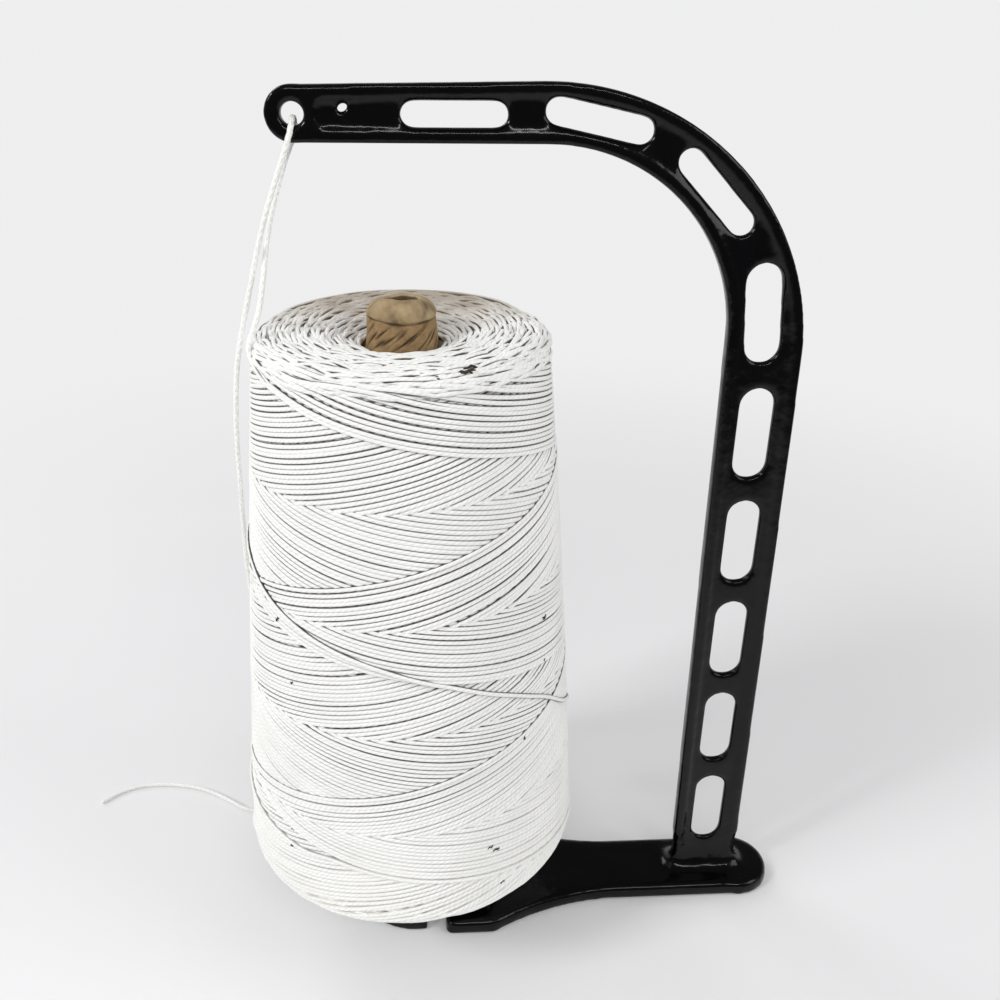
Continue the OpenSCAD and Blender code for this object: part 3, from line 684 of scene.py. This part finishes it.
def lintAndShadeFibres(surface, spec):
    rng = np.random.default_rng(spec["seed"])
    count = spec["points"]
    u = np.linspace(-0.5, 0.5, count)
    paths = []
    for place, z, length, lift in spec["specks"]:
        for fibre in range(spec["fibres"]):
            run = surface.runAt(z) + rng.normal(0, spec["shift"]) + rng.normal(0, spec["curl"], count)
            run = run + rng.normal(0, spec["slant"]) * u
            angle = place + np.degrees(length / packRadius(z)) * u
            top = surface.heightAt(place, run[count // 2 - 1]) - packSet["depth"]
            up = top + lift + rng.normal(0, spec["lumps"], count) - spec["ends"] * (2 * u) ** 4
            paths.append(surface.place(angle, run, up)[0])
    return paths


lintAndShade = sweepStrands("lintAndShade", lintAndShadeFibres(surface, lintAndShadeSet), lintAndShadeSet["thickness"], lintAndShadeSet["sides"], darkLintAndShade)
lowTurns = sweepStrands("lowTurns", [lowPath], packSet["twine"], packSet["sides"], twineWound, [lowOuts])


def lathe(name, profile, segments, material, wobble=None):
    # A closed ring of a profile of (radius, height) points in millimetres
    verts, faces = [], []
    count = len(profile)
    for i in range(segments):
        a = 2 * math.pi * i / segments
        for r, z in profile:
            dr, dz = wobble(a, z) if wobble else (0, 0)
            verts.append(((r + dr) * math.cos(a) * mm, (r + dr) * math.sin(a) * mm, (z + dz) * mm))
    for i in range(segments):
        j = (i + 1) % segments
        for k in range(count):
            m = (k + 1) % count
            faces.append((i * count + k, j * count + k, j * count + m, i * count + m))
    return meshObject(name, verts, faces, material)


# Body of the winding, just under its outer turns, coloured dark as painted shade in the gaps between them
coreSet = {"rise": 0.8, "every": 12, "segments": 96}
coreUp = np.full(len(surface.run), coreSet["rise"] - packSet["depth"])
corePoints = surface.place(np.zeros(len(surface.run)), surface.run, coreUp)[0]
coreProfile = [(float(x), float(z)) for x, y, z in corePoints[::coreSet["every"]]]
woundCore = lathe("woundCore", coreProfile, coreSet["segments"], twineShade)
print("stage: package")

for piece in woundLayers + [topTurns, lowTurns, lintAndShade, woundCore]:
    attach(piece, "cone")
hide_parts("twine_core")
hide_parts("outer_turns")

# Paper cone: its nose is creased below the folded-in cap, whose mouth is a slit under a raised front lip. A
# fold has a slant in radians per millimetre, a height, a reach up and down, a depth and a width in radians
noseSet = {"slope": math.tan(math.radians(4.2)), "nose": 10.8, "curl": 248.8, "fold": 247.2, "capSwell": 0.3,
           "capAbove": 0.2, "wall": 2.0, "heights": [40.0, 60, 90, 130, 170, 205, 230],
           "fine": (236.5, 248.6, 0.35),
           "rim": [(10.9, 248.8), (10.5, 249.6), (9.8, 250.4), (8.9, 251.1), (8.0, 251.7), (7.1, 252.1),
                   (6.4, 252.3), (5.8, 252.3), (5.3, 252.0), (5.0, 251.2), (4.9, 250.0)],
           "inside": (2.2, 3), "smoothBelow": 236, "creases": 30, "shift": 0.3, "wrinkles": 26, "seed": 4,
           "segments": 240,
           "crease": {"slant": (0.07, 0.13), "middle": (239.5, 244.5), "reach": (1.8, 3.2),
                      "depth": (0.3, 0.65), "width": (0.03, 0.06)},
           "wrinkle": {"slant": (-0.1, 0.16), "middle": (247.6, 251), "reach": (0.8, 2.0),
                       "depth": (0.08, 0.24), "width": (0.05, 0.1)},
           "dent": 0.4, "dentSwing": 0.25, "dentHalf": 0.35, "lip": 1.3, "lipFrom": 249.5, "lipOver": 1.5,
           "ripple": 0.12, "sag": 0.2, "slit": 5.2, "slitShade": 0.9}


def buildPaperCone(spec):
    def outer(z):
        swell = spec["capSwell"] if z > spec["fold"] + spec["capAbove"] else 0.0
        return spec["nose"] + (spec["curl"] - z) * spec["slope"] + swell
    heights = spec["heights"] + [float(z) for z in np.arange(*spec["fine"])]
    foot = (outer(heights[0]) - spec["wall"], heights[0])
    profile = [foot] + [(outer(z), z) for z in heights] + spec["rim"]
    profile.append((spec["nose"] - spec["inside"][0], spec["curl"] - spec["inside"][1]))
    rng = np.random.default_rng(spec["seed"])
    folds = [(2 * math.pi * (k + rng.uniform(-spec["shift"], spec["shift"])) / spec["creases"],
              *(rng.uniform(*span) for span in spec["crease"].values())) for k in range(spec["creases"])]
    folds += [(rng.uniform(0, 2 * math.pi), *(rng.uniform(*span) for span in spec["wrinkle"].values()))
              for k in range(spec["wrinkles"])]

    def wobble(a, z):
        if z < spec["smoothBelow"]:
            return 0, 0
        off = (z - spec["fold"] - spec["dentSwing"] * math.sin(a * 2 + 1)) / spec["dentHalf"]
        dent = -spec["dent"] * math.exp(-off ** 2)
        for place, slant, middle, reach, depth, width in folds:
            off = (a - place - slant * (z - middle) + math.pi) % (2 * math.pi) - math.pi
            dent -= depth * math.exp(-(off / width) ** 2 - ((z - middle) / reach) ** 2)
        raised = min(1.0, max(0.0, (z - spec["lipFrom"]) / spec["lipOver"]))
        lip = spec["lip"] * max(0.0, -math.sin(a)) * raised
        return (dent + spec["ripple"] * math.sin(7 * a + 0.5 * z),
                lip + spec["sag"] * math.sin(2 * a + 0.5) + spec["ripple"] * math.sin(5 * a))
    count = spec["segments"]
    obj = lathe("paperNose", profile, count, kraft, wobble)
    for vertex in obj.data.vertices:
        vertex.co.x += mm * float(leanAt(vertex.co.z / mm))
    # How deep each point lies in a crease, and the inside of the slit, for the painted shade there
    paintedShade = obj.data.attributes.new("crease", "FLOAT", "POINT")
    paintedShade.data.foreach_set("value", [
        max(spec["slitShade"] if r < spec["slit"] else 0.0, -wobble(2 * math.pi * i / count, z)[0])
        for i in range(count) for r, z in profile])
    return obj


paperCone = buildPaperCone(noseSet)
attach(paperCone, "cone")
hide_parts("paper_cone")
print("stage: paper cone")

# Free string: from the winding's shoulder through the eye, down past the cone and along the counter
stringSet = {"diameter": 1.8, "ply": 1.3, "offset": 0.25, "lay": 8.0, "plies": 3, "sides": 6, "step": 0.9,
             "route": [
                 (-44.4, -17.5, 238), (-45.5, -14.8, 239), (-46.1, -12.8, 240.8), (-45.6, -11.4, 243),
                 (-44.3, -10.3, 246.3), (-42.5, -8.6, 251.5), (-40.8, -6, 260.5), (-39, -1.6, 272.5),
                 (-36.2, 2.2, 283.5), (-33, 4.9, 293), (-30.4, 6, 299), (-29.4, 5.4, 302.6),
                 (-29.1, 3.1, 304.9), (-29.1, 0, 305.7), (-29.1, -3.1, 304.9), (-29.4, -5.4, 302.6),
                 (-31.2, -6.2, 297.5), (-39.6, -5.6, 276), (-47.4, -4, 250), (-50.8, -3, 238),
                 (-53.2, -2, 226), (-55.4, 0, 208), (-57.2, 4, 184), (-58.6, 8, 166), (-60, 13, 146),
                 (-60.6, 20, 120), (-60.8, 27, 95), (-61.4, 33, 70), (-62.6, 37, 45), (-64.6, 39.6, 22),
                 (-69, 41.6, 6), (-75, 43, 0.95), (-82, 45.4, 0.95), (-90, 51, 0.95), (-98, 56, 0.95),
                 (-106, 59.6, 0.95), (-115, 61.8, 0.95), (-123, 62.6, 0.95), (-131, 62.2, 0.95),
                 (-138, 60, 0.95), (-143, 56.8, 0.95), (-148, 52, 0.95)]}


def buildString(spec):
    # Plies wound round the route, each on its own side of it
    line = smoothPath(spec["route"], spec["step"])
    along = np.gradient(line, axis=0)
    along /= np.linalg.norm(along, axis=1)[:, None]
    across = np.zeros_like(line)
    u = np.array([0.0, 1.0, 0.0])
    for i, t in enumerate(along):
        u = u - (u @ t) * t
        u /= np.linalg.norm(u)
        across[i] = u
    other = np.cross(along, across)
    run = np.concatenate([[0], np.cumsum(np.linalg.norm(np.diff(line, axis=0), axis=1))])
    paths = []
    for ply in range(spec["plies"]):
        a = 2 * math.pi * (run / spec["lay"] + ply / spec["plies"])
        paths.append(line + spec["offset"] * (np.cos(a)[:, None] * across + np.sin(a)[:, None] * other))
    obj = sweepStrands("freeString", paths, spec["ply"], spec["sides"], twine)
    return obj, line * mm, float(run[-1]) * mm


freeString, stringLine, stringLength = buildString(stringSet)
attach(freeString, "stand")
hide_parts("free_string")
print("stage: string", round(stringLength, 3))

# Floor in millimetres, lamps in metres and watts. The strip lamp above the camera draws the fine bright lines
# along the casting's rims
floorSet = {"half": 3000.0, "drop": 0.3, "color": "#ececed", "rough": 0.7, "turn": 200.0,
            "fade": (200.0, 750.0)}
lampSet = {"aim": (0.03, 0, 0.14), "lamps": (
    ("keyLamp", (-1.0, -0.5, 0.9), (0.32, 0.32), 7.6), ("stripLamp", (0.12, -1.0, 1.1), (0.9, 0.06), 3.7),
    ("fillLamp", (0.95, -0.45, 0.75), (0.6, 0.6), 3.4), ("backLamp", (-0.7, 0.8, 0.9), (0.5, 0.5), 3.0))}
# What the camera sees all round, and what the enamel mirrors: white behind the stand, dim in front and above
roomSet = {"color": "#f4f4f5", "seen": 0.95, "light": 0.53, "behind": 0.95, "front": 0.12, "above": 0.15,
           "turn": 0.3, "rise": (0.05, 0.4)}


def buildFloor(spec, room):
    # Pale seamless paper: matt and even, fading into the white backdrop
    material, tree, shader, spot = newMaterial("paleFloor")
    shader.inputs["Base Color"].default_value = linear(spec["color"])
    shader.inputs["Roughness"].default_value = spec["rough"]
    path = addNode(tree, "ShaderNodeLightPath")
    side = addNode(tree, "ShaderNodeSeparateXYZ", {0: spot})
    behind = addNode(tree, "ShaderNodeMapRange", {
        "Value": side.outputs["Y"], "From Min": -spec["turn"], "From Max": spec["turn"],
        "To Min": room["front"], "To Max": room["behind"]})
    bright = addNode(tree, "ShaderNodeMapRange", {
        "Value": path.outputs["Is Glossy Ray"], "To Min": room["seen"], "To Max": behind.outputs["Result"]})
    glow = addNode(tree, "ShaderNodeEmission",
                   {"Color": linear(room["color"]), "Strength": bright.outputs["Result"]})
    far = addNode(tree, "ShaderNodeVectorMath", {0: spot}, operation="LENGTH")
    fade = addNode(tree, "ShaderNodeMapRange", {
        "Value": far.outputs["Value"], "From Min": spec["fade"][0], "From Max": spec["fade"][1]},
        interpolation_type="SMOOTHSTEP")
    seen = addNode(tree, "ShaderNodeMath",
                   {0: path.outputs["Is Camera Ray"], 1: path.outputs["Is Glossy Ray"]}, operation="MAXIMUM")
    share = addNode(tree, "ShaderNodeMath", {0: fade.outputs["Result"], 1: seen.outputs[0]},
                    operation="MULTIPLY")
    mixed = addNode(tree, "ShaderNodeMixShader",
                    {0: share.outputs[0], 1: shader.outputs[0], 2: glow.outputs[0]})
    tree.links.new(mixed.outputs[0], tree.nodes["Material Output"].inputs["Surface"])
    h = spec["half"] * mm
    floor = meshObject("floor", [(-h, -h, 0), (h, -h, 0), (h, h, 0), (-h, h, 0)], [(0, 1, 2, 3)], material)
    floor.location.z = -spec["drop"] * mm


def buildLamps(spec):
    for name, place, (wide, tall), power in spec["lamps"]:
        data = bpy.data.lights.new(name, "AREA")
        data.shape = "RECTANGLE"
        data.size = wide
        data.size_y = tall
        data.energy = power
        lamp = bpy.data.objects.new(name, data)
        lamp.location = place
        lamp.rotation_euler = (Vector(spec["aim"]) - Vector(place)).to_track_quat("-Z", "Y").to_euler()
        scene.collection.objects.link(lamp)


def buildRoom(spec):
    world = bpy.data.worlds.new("studio")
    scene.world = world
    world.use_nodes = True
    tree = world.node_tree
    background = tree.nodes["Background"]
    background.inputs["Color"].default_value = linear(spec["color"])
    path = addNode(tree, "ShaderNodeLightPath")
    way = addNode(tree, "ShaderNodeSeparateXYZ",
                  {0: addNode(tree, "ShaderNodeTexCoord").outputs["Generated"]})
    behind = addNode(tree, "ShaderNodeMapRange", {
        "Value": way.outputs["Y"], "From Min": -spec["turn"], "From Max": spec["turn"],
        "To Min": spec["front"], "To Max": spec["behind"]})
    sky = addNode(tree, "ShaderNodeMapRange", {
        "Value": way.outputs["Z"], "From Min": spec["rise"][0], "From Max": spec["rise"][1],
        "To Min": behind.outputs["Result"], "To Max": spec["above"]})
    mirrored = addNode(tree, "ShaderNodeMapRange", {
        "Value": path.outputs["Is Glossy Ray"], "To Min": spec["light"], "To Max": sky.outputs["Result"]})
    strength = addNode(tree, "ShaderNodeMapRange", {
        "Value": path.outputs["Is Camera Ray"], "To Min": mirrored.outputs["Result"], "To Max": spec["seen"]})
    tree.links.new(strength.outputs["Result"], background.inputs["Strength"])
    scene.view_settings.view_transform = "Standard"


buildFloor(floorSet, roomSet)
buildLamps(lampSet)
buildRoom(roomSet)
print("stage: floor and light")
